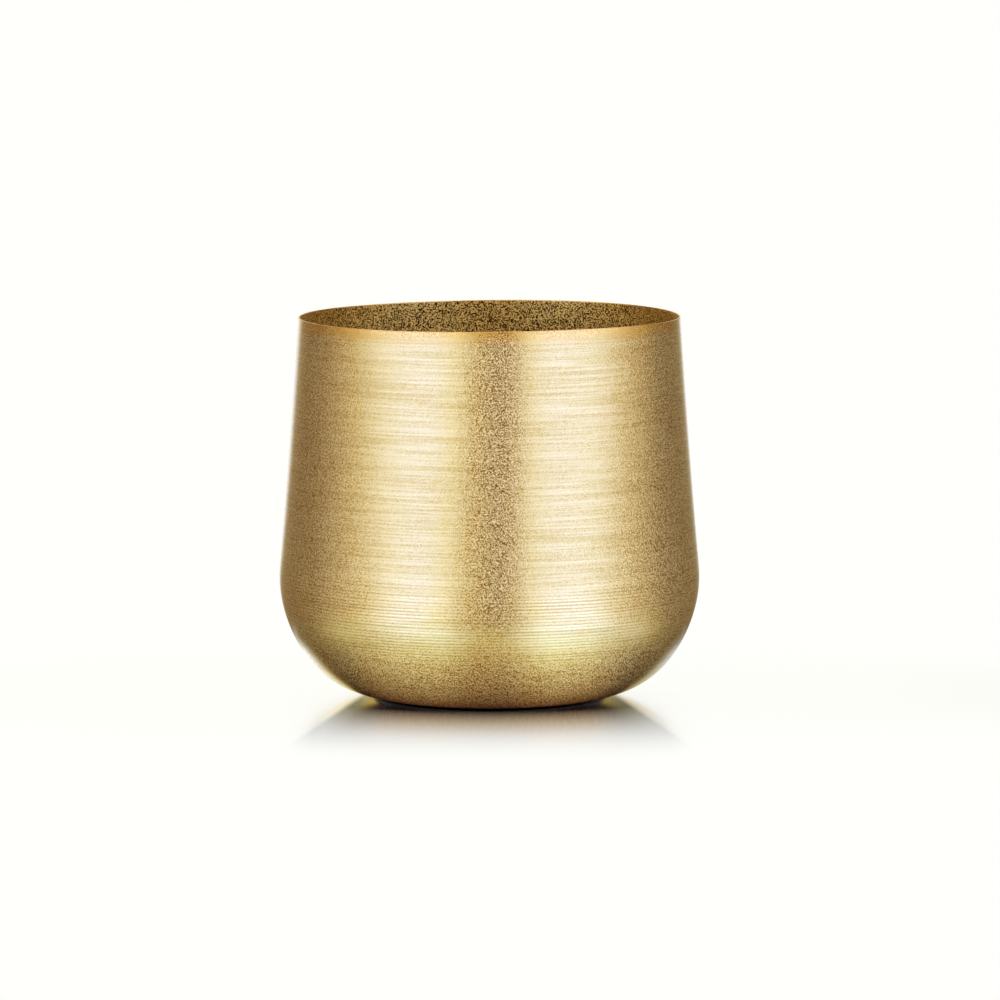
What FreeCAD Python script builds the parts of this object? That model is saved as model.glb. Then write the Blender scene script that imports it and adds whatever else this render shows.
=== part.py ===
import FreeCAD, Part
import math
import os

# Sizes in millimetres, +Z up. The origin is on the pot's axis, level with whatever the pot stands on.

# Shell: one round of sheet metal, spun to a belly that draws in to a flat base
mouth_diameter = 150.0       # inside, across the rim
sheet_thickness = 0.6
shell_height = 150.6         # underside of the base to the top of the rim
belly_swell = 7.9            # how far the belly stands out past the rim, on each side
belly_height = 46.6          # widest level, above the underside of the base
base_flat_diameter = 86.4    # flat disc underneath, where the pads stick
waist_radius = 4350.0        # long hollow arc of the outer wall, from the belly to the rim

# Three arcs turn the section from the flat base up to the belly
heel_turn = 52.4             # degrees turned by the first arc, next to the flat base
bilge_turn = 28.5            # degrees turned by the second arc, below the belly
bilge_radius_share = 1.19    # radius of the second arc, as a share of the third arc's radius

# Pads: round foam feet, each held to the base by a film of adhesive
pad_diameter = 12.0
pad_thickness = 1.0
pad_edge_radius = 0.25       # softened lower edge
pad_inset = 4.2              # bare ring of base between a pad and the edge of the flat
adhesive_thickness = 0.15
adhesive_margin = 0.3        # the film stops this far inside the pad's edge
pad_places = ["right", "back", "left", "front"]

# Levels and radii that follow from the sizes
mouth_radius = mouth_diameter / 2
belly_radius = mouth_radius + sheet_thickness + belly_swell
base_flat_radius = base_flat_diameter / 2
pad_radius = pad_diameter / 2
pad_circle_radius = base_flat_radius - pad_inset - pad_radius
stand_off = pad_thickness + adhesive_thickness


def section_point(place):
    # A place is a radius and a height above the shell's underside.
    return FreeCAD.Vector(place[0], 0, place[1] + stand_off)


def turned_place(centre, radius, turn):
    # Turn 0 faces straight down, and a quarter turn faces straight out.
    return (centre[0] + radius * math.sin(turn), centre[1] - radius * math.cos(turn))


def section_line(start, end):
    return Part.LineSegment(section_point(start), section_point(end)).toShape()


def section_arc(centre, radius, start_turn, end_turn):
    # Written as a spline, the arc keeps its exact shape, and its surface keeps to the pot's own box.
    turns = (start_turn, (start_turn + end_turn) / 2, end_turn)
    places = [turned_place(centre, radius, turn) for turn in turns]
    return Part.Arc(*[section_point(place) for place in places]).toBSpline().toShape()


def lower_arcs():
    # The heel and belly radii are solved so that the three arcs start level at the edge of the flat base
    # and stand upright at the belly. Each entry is a centre, an outer radius, a start turn and an end turn.
    heel_end = math.radians(heel_turn)
    bilge_end = heel_end + math.radians(bilge_turn)
    draw_in = belly_radius - base_flat_radius
    out_share = bilge_radius_share * (math.sin(bilge_end) - math.sin(heel_end)) + 1 - math.sin(bilge_end)
    up_share = bilge_radius_share * (math.cos(heel_end) - math.cos(bilge_end)) + math.cos(bilge_end)
    heel_up_share = 1 - math.cos(heel_end)
    solver = math.sin(heel_end) * up_share - heel_up_share * out_share
    heel_radius = (draw_in * up_share - belly_height * out_share) / solver
    belly_arc_radius = (math.sin(heel_end) * belly_height - heel_up_share * draw_in) / solver
    bilge_radius = bilge_radius_share * belly_arc_radius
    heel_centre = (base_flat_radius, heel_radius)
    bilge_centre = turned_place(heel_centre, heel_radius - bilge_radius, heel_end)
    belly_centre = (belly_radius - belly_arc_radius, belly_height)
    belly_end = math.pi / 2 + wall_lean(belly_centre, belly_arc_radius)
    return [
        (heel_centre, heel_radius, 0, heel_end),
        (bilge_centre, bilge_radius, heel_end, bilge_end),
        (belly_centre, belly_arc_radius, bilge_end, belly_end),
    ]


def wall_lean(belly_centre, belly_arc_radius):
    # Angle above level at which the hollow wall arc touches the belly arc. The two centres are one belly
    # radius and one waist radius apart, and the inner wall meets the inside edge of the rim.
    centres_apart = belly_arc_radius + waist_radius
    inner_waist = waist_radius + sheet_thickness
    across = mouth_radius - belly_centre[0]
    up = shell_height - belly_centre[1]
    rim_apart = math.hypot(across, up)
    cosine = (rim_apart ** 2 + centres_apart ** 2 - inner_waist ** 2) / (2 * rim_apart * centres_apart)
    return math.atan2(up, across) - math.acos(cosine)


def level_turn(centre, radius, height):
    # Turn at which a wall arc, whose centre lies outside the pot, reaches a height
    return 2 * math.pi - math.acos((centre[1] - height) / radius)


def pot_shell():
    arcs = lower_arcs()
    belly_centre, belly_arc_radius, _, belly_end = arcs[-1]
    inner_waist = waist_radius + sheet_thickness
    wall_centre = turned_place(belly_centre, belly_arc_radius + waist_radius, belly_end)
    wall_start = belly_end + math.pi
    outer_end = level_turn(wall_centre, waist_radius, shell_height)
    inner_end = level_turn(wall_centre, inner_waist, shell_height)
    outer_rim = turned_place(wall_centre, waist_radius, outer_end)
    inner_rim = turned_place(wall_centre, inner_waist, inner_end)
    outer = [section_line((0, 0), (base_flat_radius, 0))]
    outer += [section_arc(*arc) for arc in arcs]
    outer.append(section_arc(wall_centre, waist_radius, wall_start, outer_end))
    inner = [section_line(outer_rim, inner_rim)]
    inner.append(section_arc(wall_centre, inner_waist, inner_end, wall_start))
    for centre, radius, start_turn, end_turn in reversed(arcs):
        inner.append(section_arc(centre, radius - sheet_thickness, end_turn, start_turn))
    inner.append(section_line((base_flat_radius, sheet_thickness), (0, sheet_thickness)))
    inner.append(section_line((0, sheet_thickness), (0, 0)))
    section = Part.Face(Part.Wire(outer + inner))
    return section.revolve(FreeCAD.Vector(0, 0, 0), FreeCAD.Vector(0, 0, 1), 360)


def pad_centre(index):
    angle = 2 * math.pi * index / len(pad_places)
    return FreeCAD.Vector(pad_circle_radius * math.cos(angle), pad_circle_radius * math.sin(angle), 0)


def foot_pad(index):
    pad = Part.makeCylinder(pad_radius, pad_thickness, pad_centre(index))
    lower_edges = [edge for edge in pad.Edges if edge.BoundBox.ZMax < pad_thickness / 2]
    return pad.makeFillet(pad_edge_radius, lower_edges)


def pad_adhesive(index):
    base = pad_centre(index) + FreeCAD.Vector(0, 0, pad_thickness)
    return Part.makeCylinder(pad_radius - adhesive_margin, adhesive_thickness, base)


def write_nodes():
    os.makedirs("parts", exist_ok=True)
    nodes = {"pot_shell": pot_shell()}
    for index, place in enumerate(pad_places):
        nodes["foot_pad_" + place] = foot_pad(index)
        nodes["pad_adhesive_" + place] = pad_adhesive(index)
    for name, shape in nodes.items():
        shape.exportStep("parts/" + name + ".step")
        box = shape.BoundBox
        print(name, "valid", shape.isValid(), "volume", round(shape.Volume, 3),
              "low", round(box.ZMin, 3), "high", round(box.ZMax, 3))


write_nodes()
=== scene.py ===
import math
import bpy
import numpy as np
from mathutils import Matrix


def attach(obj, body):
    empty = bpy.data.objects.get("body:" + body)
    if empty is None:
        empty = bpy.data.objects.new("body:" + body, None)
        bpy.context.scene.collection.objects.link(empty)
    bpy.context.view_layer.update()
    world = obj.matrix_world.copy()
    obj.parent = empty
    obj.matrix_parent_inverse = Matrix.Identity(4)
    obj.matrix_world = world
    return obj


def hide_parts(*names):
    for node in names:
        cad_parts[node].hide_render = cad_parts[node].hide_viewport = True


# Brushed brass cachepot on four foam feet. Metres, +Z up, the pot stands on z = 0 and its front faces -Y.

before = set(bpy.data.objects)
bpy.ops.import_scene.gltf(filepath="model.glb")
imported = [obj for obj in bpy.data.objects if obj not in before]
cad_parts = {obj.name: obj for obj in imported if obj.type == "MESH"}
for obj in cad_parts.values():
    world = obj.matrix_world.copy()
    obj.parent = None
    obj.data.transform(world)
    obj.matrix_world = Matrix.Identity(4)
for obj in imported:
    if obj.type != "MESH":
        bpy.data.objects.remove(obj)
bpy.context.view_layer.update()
print("frame loaded,", len(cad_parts), "solids")

mm = 0.001
fullTurn = 2 * math.pi


# Mesh making

def sectionPoints(across, up):
    # Distances from the axis and heights; either may be one number for all the points
    return np.stack(np.broadcast_arrays(across, up), -1)


def lengthAlong(line):
    return np.concatenate([[0], np.cumsum(np.hypot(*np.diff(line, axis=0).T))])


def linkPiece(name, mesh):
    mesh.update()
    piece = bpy.data.objects.new(name, mesh)
    bpy.context.scene.collection.objects.link(piece)
    return piece


def roundMesh(name, rings, attributes):
    # rings is rows by turns by 3, closed round its turns. The first and last rows shrink to one pole point each.
    rows, turns = rings.shape[:2]
    poles = np.array([rings[0].mean(0), rings[-1].mean(0)])
    points = np.concatenate([poles[:1], rings[1:-1].reshape(-1, 3), poles[1:]])
    row, turn = np.meshgrid(np.arange(rows - 3), np.arange(turns), indexing="ij")
    corner = 1 + row * turns + turn
    beside = 1 + row * turns + (turn + 1) % turns
    quads = np.stack([corner, beside, beside + turns, corner + turns], -1).reshape(-1, 4)
    first = np.arange(turns)
    last = 1 + (rows - 3) * turns
    startFan = np.stack([np.zeros(turns, int), 1 + (first + 1) % turns, 1 + first], -1)
    endFan = np.stack([np.full(turns, len(points) - 1), last + first, last + (first + 1) % turns], -1)
    mesh = bpy.data.meshes.new(name)
    mesh.from_pydata(points, [], quads.tolist() + startFan.tolist() + endFan.tolist())
    mesh.polygons.foreach_set("use_smooth", np.ones(len(mesh.polygons), bool))
    for label, values in attributes.items():
        flat = values[1:-1].reshape(-1)
        column = np.concatenate([[values[0].mean()], flat, [values[-1].mean()]])
        mesh.attributes.new(label, "FLOAT", "POINT").data.foreach_set("value", column.astype(np.float32))
    return linkPiece(name, mesh)


def readColumn(items, label, width=1, kind=np.float32):
    values = np.zeros(len(items) * width, kind)
    items.foreach_get(label, values)
    return values


def addRoundUv(piece, height):
    # u is the share of a turn about the piece's own axis, v the height attribute's share of its reach
    mesh = piece.data
    points = readColumn(mesh.vertices, "co", width=3).reshape(-1, 3)
    reach = readColumn(mesh.attributes[height].data, "value")
    loopPoint = readColumn(mesh.loops, "vertex_index", kind=np.int32)
    loopStart = readColumn(mesh.polygons, "loop_start", kind=np.int32)
    loopTotal = readColumn(mesh.polygons, "loop_total", kind=np.int32)
    middle = points.mean(0)
    share = np.arctan2(points[:, 1] - middle[1], points[:, 0] - middle[0]) / fullTurn % 1
    u = share[loopPoint]
    # A face that crosses u = 0 has corners near 0 and near 1, and those near 0 are taken one turn further.
    faceOf = np.repeat(np.arange(len(loopStart)), loopTotal)
    widest = np.maximum.reduceat(u, loopStart)[faceOf]
    u = np.where((widest > 0.75) & (u < 0.25), u + 1, u)
    v = (reach / reach.max())[loopPoint]
    layer = mesh.uv_layers.new(name="roundMap")
    layer.data.foreach_set("uv", np.stack([u, v], -1).astype(np.float32).ravel())


# Shell: spun sheet, drawn as one closed surface from the middle of its underside to the middle of its floor

shell = {
    "standOff": 1.15 * mm,             # pads and films hold the underside off the table
    "sheet": 0.6 * mm,
    "height": 150.6 * mm,              # from the underside to the rim
    "baseFlat": 43.2 * mm,             # radius of the flat underneath
    "heel": 36.496 * mm,               # radii of the three arcs above it, and what the first two turn
    "heelTurn": math.radians(52.4),
    "bilge": 55.347 * mm,
    "bilgeTurn": math.radians(28.5),
    "belly": 46.51 * mm,
    "wall": 4350 * mm,                 # long hollow arc above the belly
    "leanLow": math.radians(5.077),    # how far the wall leans inwards, at its foot and at the rim
    "leanHigh": math.radians(3.758),
    "wallFine": 7 * mm,                # the wall's lowest part is stepped finely too, for the last ridges
    "flatPoints": 24,
    "heelStep": 0.8 * mm,
    "fineStep": 0.212 * mm,            # six steps to a ridge
    "wallStep": 1.5 * mm,
    "rimPoints": 9,
    "innerSkip": 6,                    # the inner line keeps one in so many points of the outer line
    "ridgePitch": 1.27 * mm,           # tool feed, left as fine ridges round the belly
    "ridgeDepth": 0.02 * mm,
    "ridgeBand": (85 * mm, 122 * mm),  # along the section from the middle of the underside
    "ridgeFade": (3 * mm, 10 * mm),    # the ridges fade out over these lengths at the two ends of their band
    "fit": 0.9994,                     # keeps the ridged surface just inside the solid's own
    "rimDrop": 0.8 * mm,               # about how much lower the rim is on its low side
    "dropFrom": 100 * mm,              # above the table; the wall under this level stays true
    "dropMean": 0.53,
    "dropWaves": [(-0.45, 1, 0), (0.17, 2, 0.17), (0.19, 3, 0.18)],  # size, waves to a turn, start in radians
    "turns": 224,
}


def facing(turn):
    # Turn 0 faces straight down, and a quarter turn faces straight out.
    return np.stack([np.sin(turn), -np.cos(turn)], -1)


def sheetArc(centre, radius, startTurn, endTurn, step, outwards=1):
    # The point at turn t is the centre plus the radius times (sin t, -cos t).
    count = int(round(abs(endTurn - startTurn) * radius / step)) + 1
    out = facing(np.linspace(startTurn, endTurn, count))
    return centre + radius * out, outwards * out


def shellSection(form):
    # Flat base, three tangent arcs and one hollow wall arc, then a half-round rim, and the same line one
    # sheet thickness inwards back to the axis
    heelEnd = form["heelTurn"]
    bilgeEnd = heelEnd + form["bilgeTurn"]
    bellyEnd = math.pi / 2 + form["leanLow"]
    wallStart = math.pi + bellyEnd
    wallBreak = wallStart - form["wallFine"] / form["wall"]
    wallEnd = math.pi * 1.5 + form["leanHigh"]
    heelCentre = np.array([form["baseFlat"], form["heel"]])
    bilgeCentre = heelCentre + (form["heel"] - form["bilge"]) * facing(heelEnd)
    bellyCentre = bilgeCentre + (form["bilge"] - form["belly"]) * facing(bilgeEnd)
    wallCentre = bellyCentre + (form["belly"] + form["wall"]) * facing(bellyEnd)
    flat = np.linspace(0, form["baseFlat"], form["flatPoints"])
    parts = [
        (sectionPoints(flat, 0.0), np.tile([0.0, -1.0], (len(flat), 1))),
        sheetArc(heelCentre, form["heel"], 0, heelEnd, form["heelStep"]),
        sheetArc(bilgeCentre, form["bilge"], heelEnd, bilgeEnd, form["fineStep"]),
        sheetArc(bellyCentre, form["belly"], bilgeEnd, bellyEnd, form["fineStep"]),
        sheetArc(wallCentre, form["wall"], wallStart, wallBreak, form["fineStep"], -1),
        sheetArc(wallCentre, form["wall"], wallBreak, wallEnd, form["wallStep"], -1),
    ]
    line = np.concatenate([parts[0][0]] + [part[0][1:] for part in parts[1:]])
    out = np.concatenate([parts[0][1]] + [part[1][1:] for part in parts[1:]])

    # The rim is half a circle, half a sheet in radius, and the wall ends that much lower to make room for it.
    rimRadius = form["sheet"] / 2
    line[-1] -= rimRadius * np.array([-out[-1][1], out[-1][0]])
    rimStart = math.atan2(out[-1][1], out[-1][0])
    swing = rimStart + np.linspace(0, math.pi, form["rimPoints"] + 2)[1:-1]
    rimOut = sectionPoints(np.cos(swing), np.sin(swing))
    rim = line[-1] - rimRadius * out[-1] + rimRadius * rimOut

    kept = np.concatenate([np.arange(0, len(line) - 1, form["innerSkip"]), [len(line) - 1]])[::-1]
    inner = line[kept] - form["sheet"] * out[kept]
    inner[-1, 0] = 0
    return np.concatenate([line, rim, inner]), np.concatenate([out, rimOut, -out[kept]])


def makeShell(form):
    line, out = shellSection(form)
    along = lengthAlong(line)

    # Ridges: inside their band the line sinks by the depth times half of 1 less the cosine of the length along it,
    # one full turn to a pitch.
    low, high = form["ridgeBand"]
    fadeLow, fadeHigh = form["ridgeFade"]
    inBand = np.clip((along - low) / fadeLow, 0, 1) * np.clip((high - along) / fadeHigh, 0, 1)
    ridge = -form["ridgeDepth"] * inBand * (0.5 - 0.5 * np.cos(fullTurn * along / form["ridgePitch"]))
    line = line + ridge[:, None] * out

    # Rim: at each angle the wall drops by rimDrop times a mean share plus three cosine waves, times the cube of
    # the share of the way up from dropFrom to the rim.
    angle = np.arange(form["turns"]) / form["turns"] * fullTurn
    radius, level = form["fit"] * line[:, :1], line[:, 1:] + form["standOff"]
    lowSide = form["dropMean"] + sum(size * np.cos(waves * angle + start) for size, waves, start in form["dropWaves"])
    top = form["standOff"] + form["height"]
    nearRim = np.clip((level - form["dropFrom"]) / (top - form["dropFrom"]), 0, 1) ** 3
    drop = form["rimDrop"] * nearRim * lowSide[None, :]
    rings = np.stack([radius * np.cos(angle), radius * np.sin(angle), level - drop], -1)

    alongAll = np.repeat(along[:, None], form["turns"], 1)
    rimReach = along[np.argmax(line[:, 1])]
    piece = roundMesh("potShell", rings, {"spinLength": alongAll, "pastRim": alongAll - rimReach})
    addRoundUv(piece, "spinLength")
    return piece


potShell = makeShell(shell)
print("shell made,", len(potShell.data.polygons), "faces")


# Pads and adhesive films: round discs on one circle, each with an edge that wanders a little

places = ["right", "back", "left", "front"]

pads = {
    "radius": 6 * mm,
    "thickness": 1 * mm,
    "edge": 0.25 * mm,                         # the lower edge is a quarter round
    "circle": 33 * mm,                         # from the pot's axis to a pad's middle
    "wander": [(0.004, 2, 1), (0.003, 7, 2)],  # size, waves to a turn, start in radians times the piece's number
    "underPoints": 12,
    "edgePoints": 7,
    "sidePoints": 8,
    "overPoints": 8,
    "turns": 96,
}

films = {
    "radius": 5.7 * mm,
    "low": 1.0 * mm,
    "high": 1.15 * mm,
    "circle": pads["circle"],
    "wander": [(0.006, 5, 2), (0.004, 11, 1)],
    "points": 10,
    "turns": 96,
}


def makeDisc(name, line, form, index):
    # The section turned about the disc's own axis. At each angle its radii are multiplied by 1 less, for every
    # wave, the size times 1 plus the wave's cosine.
    angle = np.arange(form["turns"]) / form["turns"] * fullTurn
    wander = 1 - sum(size * (1 + np.cos(waves * angle + start * index)) for size, waves, start in form["wander"])
    middle = index * fullTurn / len(places)
    radius = line[:, :1] * wander[None, :]
    rings = np.stack([form["circle"] * math.cos(middle) + radius * np.cos(angle),
                      form["circle"] * math.sin(middle) + radius * np.sin(angle),
                      np.repeat(line[:, 1:], form["turns"], 1)], -1)
    along = np.repeat(lengthAlong(line)[:, None], form["turns"], 1)
    piece = roundMesh(name + "_" + places[index], rings, {"sectionLength": along})
    addRoundUv(piece, "sectionLength")
    return piece


def makePad(form, index):
    # Underside, quarter-round lower edge, upright side and top
    quarter = np.linspace(0, math.pi / 2, form["edgePoints"])[1:]
    inset = form["radius"] - form["edge"]
    line = np.concatenate([
        sectionPoints(np.linspace(0, inset, form["underPoints"]), 0.0),
        sectionPoints(inset + form["edge"] * np.sin(quarter), form["edge"] - form["edge"] * np.cos(quarter)),
        sectionPoints(form["radius"], np.linspace(form["edge"], form["thickness"], form["sidePoints"])[1:]),
        sectionPoints(np.linspace(form["radius"], 0, form["overPoints"])[1:], form["thickness"]),
    ])
    return makeDisc("footPad", line, form, index)


def makeFilm(form, index):
    # Underside and top, joined at the edge
    reach = np.linspace(0, form["radius"], form["points"])
    line = np.concatenate([sectionPoints(reach, form["low"]), sectionPoints(reach[::-1], form["high"])])
    return makeDisc("padFilm", line, form, index)


footPads = [makePad(pads, index) for index in range(len(places))]
padFilms = [makeFilm(films, index) for index in range(len(places))]
print("pads and films made")


# Shader building

def feed(tree, value, socket):
    if isinstance(value, bpy.types.NodeSocket):
        tree.links.new(value, socket)
    else:
        socket.default_value = value


def node(tree, kind, settings=None, **inputs):
    # Adds one node. Each input is a plain value or an output socket of another node; i0, i1 and so on name an
    # input by its place, and an underscore stands for a space.
    made = tree.nodes.new(kind)
    for label, value in (settings or {}).items():
        setattr(made, label, value)
    for label, value in inputs.items():
        key = int(label[1:]) if label[0] == "i" and label[1:].isdigit() else label.replace("_", " ")
        feed(tree, value, made.inputs[key])
    return made


def maths(tree, operation, *values, clamp=False):
    inputs = {"i%d" % place: value for place, value in enumerate(values)}
    return node(tree, "ShaderNodeMath", {"operation": operation, "use_clamp": clamp}, **inputs).outputs[0]


def times(tree, first, second):
    return maths(tree, "MULTIPLY", first, second)


def plus(tree, first, second):
    return maths(tree, "ADD", first, second)


def less(tree, first, second):
    return maths(tree, "SUBTRACT", first, second)


def spread(tree, value, low, high, newLow=0.0, newHigh=1.0):
    made = node(tree, "ShaderNodeMapRange", {"clamp": True, "interpolation_type": "SMOOTHSTEP"},
                Value=value, From_Min=low, From_Max=high, To_Min=newLow, To_Max=newHigh)
    return made.outputs["Result"]


def blendColour(tree, share, first, second):
    made = node(tree, "ShaderNodeMix", {"data_type": "RGBA"})
    for label, value in (("Factor_Float", share), ("A_Color", first), ("B_Color", second)):
        feed(tree, value, next(socket for socket in made.inputs if socket.identifier == label))
    return next(socket for socket in made.outputs if socket.identifier == "Result_Color")


def noise(tree, place, scale, detail):
    made = node(tree, "ShaderNodeTexNoise", Vector=place, Scale=scale, Detail=detail)
    return made.outputs["Fac"]


def attribute(tree, label, output="Fac"):
    return node(tree, "ShaderNodeAttribute", {"attribute_name": label}).outputs[output]


def objectPlace(tree):
    return node(tree, "ShaderNodeTexCoord").outputs["Object"]


def newGroup(name, inputs):
    # A group that takes the inputs and gives a Height and a Tone
    group = bpy.data.node_groups.new(name, "ShaderNodeTree")
    for label, kind in inputs:
        group.interface.new_socket(name=label, in_out="INPUT", socket_type=kind)
    for label in ("Height", "Tone"):
        group.interface.new_socket(name=label, in_out="OUTPUT", socket_type="NodeSocketFloat")
    return group, group.nodes.new("NodeGroupInput").outputs, group.nodes.new("NodeGroupOutput").inputs


def newMaterial(name):
    material = bpy.data.materials.new(name)
    material.use_nodes = True
    material.node_tree.nodes.clear()
    return material, material.node_tree


def newSurface(name):
    material, tree = newMaterial(name)
    shader = node(tree, "ShaderNodeBsdfPrincipled")
    node(tree, "ShaderNodeOutputMaterial", Surface=shader.outputs[0])
    return material, tree, shader.inputs


# Grain and brush lines, shared as groups

grainForm = {
    "coarse": 420.0,             # coarse grains to a metre
    "shares": (0.96, 0.04),      # of the fine and the coarse noise
    "toneReach": (0.43, 0.57),   # heights at which the tone is -1 and 1
}

lineForm = {"toneReach": (0.34, 0.66)}


def makeSandGrain(form):
    # Blasted grain: a fine and a coarser noise added, as a height and as a centred tone
    group, given, wanted = newGroup("sandGrain", [("Vector", "NodeSocketVector"), ("Fine", "NodeSocketFloat")])
    fineShare, coarseShare = form["shares"]
    fine = times(group, noise(group, given["Vector"], given["Fine"], 1.0), fineShare)
    coarse = times(group, noise(group, given["Vector"], form["coarse"], 1.0), coarseShare)
    both = plus(group, fine, coarse)
    feed(group, both, wanted["Height"])
    feed(group, spread(group, both, *form["toneReach"], -1.0, 1.0), wanted["Tone"])
    return group


def makeSpinLines(form):
    # Brushing round the axis: a noise whose place is (cos, sin) of the turn times Runs, and the length along the
    # section times Lines, so each line runs round the pot, and comes and goes as it does
    group, given, wanted = newGroup("spinLines", [("Vector", "NodeSocketVector"), ("Length", "NodeSocketFloat"),
                                                  ("Lines", "NodeSocketFloat"), ("Runs", "NodeSocketFloat")])
    flat = node(group, "ShaderNodeVectorMath", {"operation": "MULTIPLY"}, i0=given["Vector"], i1=(1, 1, 0))
    outwards = node(group, "ShaderNodeVectorMath", {"operation": "NORMALIZE"}, i0=flat.outputs[0])
    parts = node(group, "ShaderNodeSeparateXYZ", Vector=outwards.outputs[0]).outputs
    place = node(group, "ShaderNodeCombineXYZ", X=times(group, parts[0], given["Runs"]),
                 Y=times(group, parts[1], given["Runs"]), Z=times(group, given["Length"], given["Lines"]))
    lines = noise(group, place.outputs[0], 1.0, 1.0)
    feed(group, lines, wanted["Height"])
    feed(group, spread(group, lines, *form["toneReach"], -1.0, 1.0), wanted["Tone"])
    return group


def useGroup(tree, group, **inputs):
    return node(tree, "ShaderNodeGroup", {"node_tree": group}, **inputs).outputs


sandGrain = makeSandGrain(grainForm)
spinLines = makeSpinLines(lineForm)


# Brushed brass under clear lacquer. Lengths past the rim are negative outside and positive inside.

brass = {
    "colour": (1.0, 0.875, 0.51, 1),
    "deep": (0.56, 0.37, 0.055, 1),        # between the grains and along the lines, and as painted shade in the grooves
    "share": 0.4,                          # of the deep colour, where no grain or line adds to it
    "grain": 2500.0,                       # fine grains to a metre
    "grainTone": 0.48,
    "fineLines": {"Lines": 1500.0, "Runs": 2.0},
    "lineTone": 0.19,
    "broadLines": {"Lines": 700.0, "Runs": 1.2},
    "broadTone": 0.07,
    "grooveReach": (-1.0, 0.4),            # part of each ridge's cosine that counts as groove
    "grooveMean": 0.56,                    # taken off, so that the grooved band is no darker on the whole
    "grooveTone": 0.68,
    "rimTint": (0.88, 0.6, 0.17, 1),       # warmer and darker just under the rim: painted shade, where the highlight dims
    "rimTintReach": (-7 * mm, -0.6 * mm),
    "rimTintShare": 0.85,
    "rimEdge": (0.88, 0.55, 0.17, 1),      # painted reflection: the warm light that the rim's rounded edge catches
    "rimEdgeReach": (-1.0 * mm, -0.5 * mm),
    "rimEdgeShare": 0.8,
    "insideReach": (0.1 * mm, 0.9 * mm),
    "inside": (1.0, 0.73, 0.22, 1),        # the inner wall is left as spun, browner than the brushed outside
    "insideDeep": (0.22, 0.1, 0.005, 1),
    "insideGrain": 1900.0,
    "insideShadeReach": (2 * mm, 18 * mm),        # over this depth the inside loses its bright grains: painted shade, deeper in the pot
    "insideShade": 0.7,
    "speckleReach": (-0.8, 0.5),
    "roughness": (0.05, 0.74),             # each grain's own: dark reflections sparkle and bright ones stay even
    "anisotropy": 0.6,
    "anisotropyTurn": 0.25,
    "lacquer": 1.0,
    "lacquerReach": (-0.9 * mm, 0.1 * mm),  # it ends at the rim
    "lacquerRoughness": 0.14,
    "grainBump": 0.04 * mm,
    "lineBump": 0.012 * mm,
}


def brushedBrass(look):
    material, tree, shader = newSurface("brushedBrass")
    place = objectPlace(tree)
    length = attribute(tree, "spinLength")
    pastRim = attribute(tree, "pastRim")
    inside = spread(tree, pastRim, *look["insideReach"])
    grain = useGroup(tree, sandGrain, Vector=place, Fine=look["grain"])
    spun = useGroup(tree, sandGrain, Vector=place, Fine=look["insideGrain"])
    fine = useGroup(tree, spinLines, Vector=place, Length=length, **look["fineLines"])
    broad = useGroup(tree, spinLines, Vector=place, Length=length, **look["broadLines"])

    # The grooves follow the ridges of the mesh, and their deep colour is painted shade.
    low, high = shell["ridgeBand"]
    fadeLow, fadeHigh = shell["ridgeFade"]
    band = times(tree, spread(tree, length, low, low + fadeLow), spread(tree, length, high - fadeHigh, high, 1, 0))
    ridges = maths(tree, "COSINE", times(tree, length, fullTurn / shell["ridgePitch"]))
    groove = times(tree, spread(tree, ridges, *look["grooveReach"], 1.0, 0.0), band)
    groove = less(tree, groove, times(tree, band, look["grooveMean"]))

    # Outside colour: grain and lines add to the bright colour, and the grooves, as painted shade, to the deep one.
    lines = plus(tree, times(tree, fine["Tone"], look["lineTone"]), times(tree, broad["Tone"], look["broadTone"]))
    tone = plus(tree, times(tree, grain["Tone"], look["grainTone"]), lines)
    tone = less(tree, tone, times(tree, groove, look["grooveTone"]))
    share = maths(tree, "SUBTRACT", look["share"], tone, clamp=True)
    outer = blendColour(tree, share, look["colour"], look["deep"])
    # Painted shade: a warmer, darker band just under the rim
    warm = times(tree, spread(tree, pastRim, *look["rimTintReach"]), look["rimTintShare"])
    outer = blendColour(tree, warm, outer, look["rimTint"])
    # Painted reflection on the rim's rounded edge
    edge = times(tree, spread(tree, pastRim, *look["rimEdgeReach"]), look["rimEdgeShare"])
    outer = blendColour(tree, edge, outer, look["rimEdge"])

    # Inside colour: bright grains, fewer with depth as painted shade deeper in the pot
    depthShade = times(tree, spread(tree, pastRim, *look["insideShadeReach"]), look["insideShade"])
    speckle = spread(tree, less(tree, spun["Tone"], depthShade), *look["speckleReach"])
    inner = blendColour(tree, speckle, look["insideDeep"], look["inside"])
    feed(tree, blendColour(tree, inside, outer, inner), shader["Base Color"])

    # The bright grains are the rough ones, outside and inside.
    coarseness = plus(tree, grain["Tone"], times(tree, inside, less(tree, spun["Tone"], grain["Tone"])))
    feed(tree, spread(tree, coarseness, -1.0, 1.0, *look["roughness"]), shader["Roughness"])
    lineBump = node(tree, "ShaderNodeBump", Strength=1.0, Distance=look["lineBump"], Height=fine["Height"])
    grainBump = node(tree, "ShaderNodeBump", Strength=1.0, Distance=look["grainBump"], Height=grain["Height"],
                     Normal=lineBump.outputs[0])
    feed(tree, grainBump.outputs[0], shader["Normal"])
    feed(tree, spread(tree, pastRim, *look["lacquerReach"], look["lacquer"], 0.0), shader["Coat Weight"])
    shader["Coat Roughness"].default_value = look["lacquerRoughness"]
    shader["Metallic"].default_value = 1.0
    shader["Anisotropic"].default_value = look["anisotropy"]
    shader["Anisotropic Rotation"].default_value = look["anisotropyTurn"]
    return material


# Foam of the pads, and the film that holds them

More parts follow.
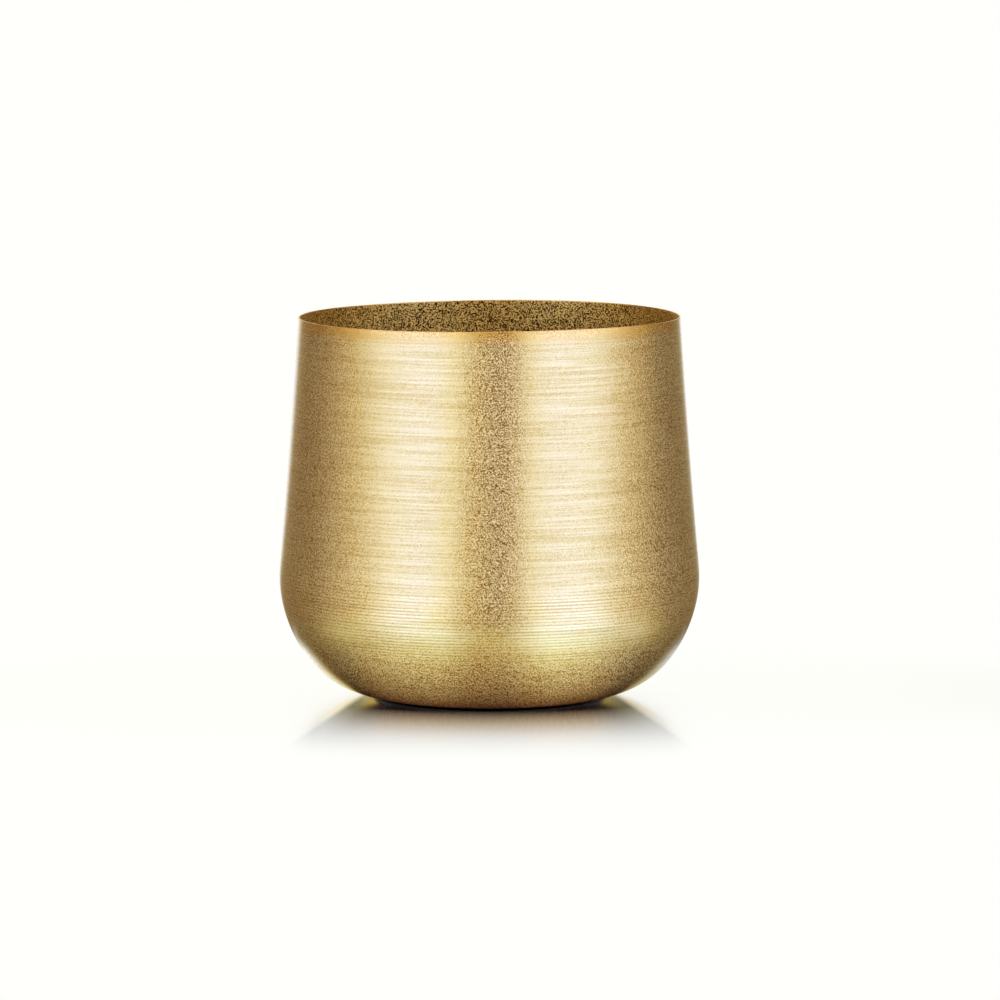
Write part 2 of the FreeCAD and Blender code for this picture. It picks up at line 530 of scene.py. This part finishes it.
foam = {
    "pores": 3800.0,            # to a metre
    "poreReach": (0.1, 0.6),    # distances from a pore's middle
    "poreShare": 0.6,
    "wear": 260.0,              # patches to a metre
    "wearDetail": 3.0,
    "wearReach": (0.3, 0.7),
    "wearShare": 0.5,
    "dark": (0.018, 0.0175, 0.017, 1),
    "pale": (0.055, 0.053, 0.05, 1),
    "roughness": (0.82, 0.95),
    "bump": 0.08 * mm,
}

adhesive = {
    "cloud": 420.0,             # patches to a metre
    "cloudDetail": 3.0,
    "cloudReach": (0.3, 0.7),
    "pale": (0.86, 0.84, 0.77, 1),
    "dark": (0.70, 0.67, 0.58, 1),
    "roughness": (0.45, 0.7),
    "bump": 0.02 * mm,
}


def foamPad(look):
    material, tree, shader = newSurface("foamPad")
    place = objectPlace(tree)
    pores = node(tree, "ShaderNodeTexVoronoi", {"feature": "F1"}, Vector=place, Scale=look["pores"])
    pores = pores.outputs["Distance"]
    wear = noise(tree, place, look["wear"], look["wearDetail"])
    # Painted shade: each pore is darker towards its middle, where it is deepest
    share = times(tree, spread(tree, pores, *look["poreReach"]), look["poreShare"])
    share = maths(tree, "ADD", share, times(tree, wear, look["wearShare"]), clamp=True)
    feed(tree, blendColour(tree, share, look["dark"], look["pale"]), shader["Base Color"])
    feed(tree, spread(tree, wear, *look["wearReach"], *look["roughness"]), shader["Roughness"])
    bump = node(tree, "ShaderNodeBump", Strength=1.0, Distance=look["bump"], Height=pores)
    feed(tree, bump.outputs[0], shader["Normal"])
    return material


def adhesiveFilm(look):
    material, tree, shader = newSurface("adhesiveFilm")
    cloud = noise(tree, objectPlace(tree), look["cloud"], look["cloudDetail"])
    feed(tree, blendColour(tree, cloud, look["pale"], look["dark"]), shader["Base Color"])
    feed(tree, spread(tree, cloud, *look["cloudReach"], *look["roughness"]), shader["Roughness"])
    bump = node(tree, "ShaderNodeBump", Strength=1.0, Distance=look["bump"], Height=cloud)
    feed(tree, bump.outputs[0], shader["Normal"])
    return material


def dress(piece, material, cadNode):
    piece.data.materials.append(material)
    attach(piece, "root")
    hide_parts(cadNode)


brassFinish = brushedBrass(brass)
foamFinish = foamPad(foam)
filmFinish = adhesiveFilm(adhesive)
dress(potShell, brassFinish, "pot_shell")
for index, place in enumerate(places):
    dress(footPads[index], foamFinish, "foot_pad_" + place)
    dress(padFilms[index], filmFinish, "pad_adhesive_" + place)
print("materials placed")


# Studio: a polished white floor, a white world, and one curved screen of softboxes and warm cards round the pot

def stageMesh(name, points, material):
    # points is rows by columns by 3, one face to each square of the grid
    rows, columns = points.shape[:2]
    row, column = np.meshgrid(np.arange(rows - 1), np.arange(columns - 1), indexing="ij")
    corner = row * columns + column
    quads = np.stack([corner, corner + 1, corner + columns + 1, corner + columns], -1).reshape(-1, 4)
    mesh = bpy.data.meshes.new(name)
    mesh.from_pydata(points.reshape(-1, 3), [], quads.tolist())
    mesh.materials.append(material)
    piece = linkPiece(name, mesh)
    return piece


def whiteRays(tree):
    rays = node(tree, "ShaderNodeLightPath").outputs
    return maths(tree, "MAXIMUM", rays["Is Camera Ray"],
                 maths(tree, "MAXIMUM", rays["Is Glossy Ray"], rays["Is Transmission Ray"]))


# Floor. Its distances are from the pot's axis, and across counts to both sides alike.

floorForm = {
    "reach": 6.0,
    "drop": 0.04 * mm,                     # keeps it clear of the pads
    "matt": (0.8, 0.8, 0.78, 1),
    "contact": (0.03, 0.02, 0.01, 1),
    "contactRing": (0.043, 0.051),         # under the pot the floor is painted dark, as its shadow, and mirrors nothing
    "mirror": (0.05, 0.97),                # share of the polish seen from above, and along the floor
    "mirrorFacing": (0.3, 0.88),           # where 0 looks straight down on it and 1 along it
    "polish": (1, 1, 0.98, 1),
    "roughness": 0.15,
    "besideShade": (0.32, 0.38, 0.5, 1),   # painted shade in the polish under the pot's two sides
    "besideFrom": (0.042, 0.054),          # the shade starts this far across
    "besideEnd": (0.12, 0.17),
    "besideLine": 0.05,                    # and ends at a line that starts this far across
    "besideSlope": 5.0,                    # and runs forwards this much for each step outwards
    "besideEdge": (-0.008, 0.012),
    "white": (1, 1, 0.965, 1),
    "fade": (0.046, 0.17),                 # the polish gives way to plain white between these distances
    "stretch": 0.6,                        # for which sideways distances count this much
    "bounce": (1.0, 0.77, 0.42, 1),        # warm light that the pot throws on the floor before it
    "bounceAcross": (0.035, 0.075),
    "bounceReach": (0.045, 0.12),
    "bounceFront": (-0.03, 0.0),
}


def floorGloss(form):
    material, tree = newMaterial("floorGloss")
    place = objectPlace(tree)
    distance = node(tree, "ShaderNodeVectorMath", {"operation": "LENGTH"}, i0=place).outputs["Value"]
    parts = node(tree, "ShaderNodeSeparateXYZ", Vector=place).outputs
    across = maths(tree, "ABSOLUTE", parts[0])

    # A painted shade before the pot's two sides, which ends outwards at a line that leaves the pot as it comes
    # forwards
    forwards = times(tree, parts[1], -1.0)
    inFront = less(tree, forwards, times(tree, less(tree, across, form["besideLine"]), form["besideSlope"]))
    beside = times(tree, spread(tree, across, *form["besideFrom"]), spread(tree, inFront, *form["besideEdge"]))
    beside = times(tree, beside, spread(tree, distance, *form["besideEnd"], 1, 0))
    polish = node(tree, "ShaderNodeBsdfGlossy", Roughness=form["roughness"],
                  Color=blendColour(tree, beside, form["polish"], form["besideShade"]))

    # Matt under the polish, and dark where the pot stands: a painted shadow
    lit = spread(tree, distance, *form["contactRing"])
    grazing = node(tree, "ShaderNodeLayerWeight", Blend=0.5).outputs["Facing"]
    mirror = times(tree, spread(tree, grazing, *form["mirrorFacing"], *form["mirror"]), lit)
    matt = node(tree, "ShaderNodeBsdfDiffuse", Color=blendColour(tree, lit, form["contact"], form["matt"]))
    glossy = node(tree, "ShaderNodeMixShader", Fac=mirror, i1=matt.outputs[0], i2=polish.outputs[0])

    # Plain white farther out, its share rising as a quarter of a sine wave, and warmed just before the pot
    squeezed = node(tree, "ShaderNodeVectorMath", {"operation": "MULTIPLY"}, i0=place, i1=(form["stretch"], 1, 1))
    oval = node(tree, "ShaderNodeVectorMath", {"operation": "LENGTH"}, i0=squeezed.outputs[0]).outputs["Value"]
    near, far = form["fade"]
    plain = node(tree, "ShaderNodeMapRange", {"clamp": True}, Value=oval, From_Min=near, From_Max=far,
                 To_Max=math.pi / 2)
    plain = maths(tree, "SINE", plain.outputs["Result"])
    warm = times(tree, spread(tree, across, *form["bounceAcross"], 1, 0),
                 spread(tree, distance, *form["bounceReach"], 1, 0))
    warm = times(tree, warm, spread(tree, parts[1], *form["bounceFront"], 1, 0))
    white = node(tree, "ShaderNodeEmission", Color=blendColour(tree, warm, form["white"], form["bounce"]),
                 Strength=whiteRays(tree))
    both = node(tree, "ShaderNodeMixShader", Fac=plain, i1=glossy.outputs[0], i2=white.outputs[0])
    node(tree, "ShaderNodeOutputMaterial", Surface=both.outputs[0])
    return material


def makeFloor(form):
    # A flat square of four faces
    edge = np.linspace(-form["reach"], form["reach"], 3)
    x, y = np.meshgrid(edge, edge)
    stageMesh("floor", np.stack([x, y, 0 * x - form["drop"]], -1), floorGloss(form))


# Screen. Its near part is the floor's light as the pot sees it, and its far part the softboxes and the cards.
# A stop is an azimuth from the camera's side, positive to the right, with the red, green and blue light there.
# Azimuths are in degrees, and side is an azimuth without its sign.

screenForm = {
    "inner": 0.046,
    "radius": 1.5,
    "height": 1.6,
    "lift": 0.6 * mm,
    "curve": 1.6,
    "rows": 140,
    "columns": 181,
    "contactReach": (0.039, 0.135),   # the floor comes out of the pot's own shade between these radii
    "bounces": (1.0, 1.55, 3.8),      # as this power of that share in red, green and blue, as off brass
    "backSwing": 900,                 # degrees per metre by which light from behind comes round nearer the pot
    "backRadius": 0.095,              # and the radius where it stands as its stops say
    "backSwingMost": (-20, 30),
    "backSwingSides": (45, 75),       # it comes in between these sides
    "behindSides": (92, 108),         # behind the pot starts between these
    "behindOpen": 0.045,              # there the shade is this much narrower
    "behindNear": 0.012,              # and the floor gives way this much nearer
    "nearReach": (0.113, 0.17),       # the floor gives way to the softboxes between these radii
    "flare": 12,                      # degrees by which the softboxes widen from their foot to their top
    "flareReach": (0.45, 1.15),
    "footFlare": 5,                   # and by this much more from the floor up to their foot
    "footFlareReach": (0.22, 0.4),
    "flareSides": (30, 65),           # it comes in between these sides, and goes out between the next two
    "flareBack": (105, 140),
    "gapLean": 3.0,                   # degrees by which the dark gap between the softboxes leans left lower down
    "gapReach": (0.79, 0.86),
    "gapSides": (22, 45),
    "nearStops": [
        (-180, 1.2, 1.22, 1.2), (-111, 1.2, 1.22, 1.2), (-104, 0.66, 0.62, 0.5), (-94, 0.18, 0.13, 0.06),
        (-70, 0.21, 0.14, 0.05), (-50, 0.72, 0.72, 0.46), (-35, 1.08, 1.26, 1.45), (-20, 1.18, 1.5, 2.1),
        (-6, 0.76, 0.7, 0.36), (5, 0.7, 0.64, 0.3), (14, 1.16, 1.38, 1.8), (24, 1.5, 2.05, 3.9),
        (42, 1.14, 1.4, 1.9), (56, 0.56, 0.52, 0.26), (70, 0.21, 0.14, 0.04), (95, 0.13, 0.1, 0.06),
        (105, 0.4, 0.38, 0.33), (113, 0.74, 0.73, 0.7), (150, 0.85, 0.84, 0.8),
    ],
    "farStops": [
        (-180, 1.0, 1.02, 1.0), (-158, 1.05, 1.02, 0.95), (-148, 0.34, 0.24, 0.12), (-130, 0.2, 0.115, 0.045),
        (-110, 0.23, 0.13, 0.05), (-90, 0.5, 0.345, 0.15), (-75, 0.8, 0.68, 0.3), (-58, 1.25, 1.34, 1.65),
        (-45, 1.3, 1.48, 2.6), (-30, 1.3, 1.48, 2.6), (-20, 1.3, 1.4, 1.5), (-8, 0.62, 0.44, 0.05),
        (6, 0.25, 0.11, 0.0), (14, 0.54, 0.34, 0.05), (23, 1.23, 1.31, 1.4), (34, 1.3, 1.47, 2.6),
        (55, 1.33, 1.53, 2.5), (64, 1.2, 1.3, 1.75), (75, 0.9, 0.8, 0.6), (92, 0.53, 0.385, 0.13),
        (112, 0.2, 0.12, 0.05), (132, 0.2, 0.12, 0.045), (148, 0.26, 0.2, 0.1), (156, 0.5, 0.42, 0.3),
        (163, 1.0, 1.0, 0.95),
    ],
}


def ease(value, low, high):
    # 0 below low, 1 above high, and three t squared less two t cubed between them
    t = np.clip((value - low) / (high - low), 0, 1)
    return t * t * (3 - 2 * t)


def stopLight(stops, azimuth):
    # Straight blends between the stops, closed round the turn
    table = np.array(stops, float)
    place = np.append(table[:, 0], table[0, 0] + 360)
    wrapped = (azimuth - place[0]) % 360 + place[0]
    return np.stack([np.interp(wrapped, place, np.append(table[:, c], table[0, c])) for c in (1, 2, 3)], -1)


def nearLight(form, side, sign, radius):
    # The floor's light, and the share by which it has given way to the softboxes
    swing = np.clip(form["backSwing"] * (form["backRadius"] - radius), *form["backSwingMost"])
    swing = side + swing * ease(side, *form["backSwingSides"])
    behind = ease(swing, *form["behindSides"])
    lit = ease(radius + form["behindOpen"] * behind, *form["contactReach"])
    light = stopLight(form["nearStops"], sign * swing) * lit[..., None] ** np.array(form["bounces"])
    return light, ease(radius + form["behindNear"] * behind, *form["nearReach"])[..., None]


def farLight(form, side, sign, radius):
    # The softboxes stand wider at their tops: the sides' look-up turns towards the front there, and back lower down.
    turned = form["flare"] * (2 * ease(radius, *form["flareReach"]) - 1)
    turned = turned - form["footFlare"] * (1 - ease(radius, *form["footFlareReach"]))
    turned = turned * ease(side, *form["flareSides"]) * (1 - ease(side, *form["flareBack"]))
    leaned = form["gapLean"] * (1 - ease(radius, *form["gapReach"])) * (1 - ease(side, *form["gapSides"]))
    return stopLight(form["farStops"], sign * (side - turned) + leaned)


def softboxGlow():
    # The screen shines inwards and is clear from behind.
    material, tree = newMaterial("softboxGlow")
    emission = node(tree, "ShaderNodeEmission", Color=attribute(tree, "glow", "Color"), Strength=1.0)
    clear = node(tree, "ShaderNodeBsdfTransparent")
    backs = node(tree, "ShaderNodeNewGeometry").outputs["Backfacing"]
    both = node(tree, "ShaderNodeMixShader", Fac=backs, i1=emission.outputs[0], i2=clear.outputs[0])
    node(tree, "ShaderNodeOutputMaterial", Surface=both.outputs[0])
    return material


def makeScreen(form):
    # Point at azimuth a and turn t: the radius runs from inner to full as sin t to the power of the curve, and
    # the height as (1 - cos t) squared.
    azimuth = np.radians(np.linspace(180, -180, form["columns"]))
    a, t = np.meshgrid(azimuth, np.linspace(0.0, math.pi / 2, form["rows"]))
    radius = form["inner"] + (form["radius"] - form["inner"]) * np.sin(t) ** form["curve"]
    height = form["lift"] + form["height"] * (1 - np.cos(t)) ** 2
    points = np.stack([radius * np.sin(a), -radius * np.cos(a), height], -1)
    screen = stageMesh("softScreen", points, softboxGlow())
    side, sign = np.abs(np.degrees(a)), np.sign(a)
    near, share = nearLight(form, side, sign, radius)
    far = farLight(form, side, sign, radius)
    light = np.concatenate([near + (far - near) * share, 1 + 0 * share], -1)
    glow = screen.data.color_attributes.new("glow", "FLOAT_COLOR", "POINT")
    glow.data.foreach_set("color", light.astype(np.float32).ravel())
    screen.visible_camera = False
    screen.visible_shadow = False


# World: white where it is seen, and dimmer where it lights

worldForm = {"colour": (1, 1, 0.965, 1), "dim": 0.8}


def makeWorld(form):
    world = bpy.data.worlds.new("whiteStudio")
    bpy.context.scene.world = world
    world.use_nodes = True
    tree = world.node_tree
    tree.nodes.clear()
    level = plus(tree, form["dim"], times(tree, whiteRays(tree), 1 - form["dim"]))
    background = node(tree, "ShaderNodeBackground", Color=form["colour"], Strength=level)
    node(tree, "ShaderNodeOutputWorld", Surface=background.outputs[0])


makeFloor(floorForm)
makeScreen(screenForm)
makeWorld(worldForm)


# Camera at the photograph's place

view = {
    "lens": 207.02,
    "sensor": 36,
    "distance": 2.2840,
    "elevation": math.radians(6.7136),
    "pivotHeight": 76.45 * mm,
    "shift": (0.0106, 0.0035),
    "clipEnd": 30,
}


def makeCamera(form):
    data = bpy.data.cameras.new("camera")
    data.lens = form["lens"]
    data.sensor_width = form["sensor"]
    data.shift_x, data.shift_y = form["shift"]
    data.clip_end = form["clipEnd"]
    camera = bpy.data.objects.new("camera", data)
    bpy.context.scene.collection.objects.link(camera)
    camera.location = (0, -form["distance"] * math.cos(form["elevation"]),
                       form["pivotHeight"] + form["distance"] * math.sin(form["elevation"]))
    camera.rotation_euler = (math.pi / 2 - form["elevation"], 0, 0)
    bpy.context.scene.camera = camera


makeCamera(view)
bpy.context.scene.view_settings.view_transform = "Standard"
print("studio and camera set")
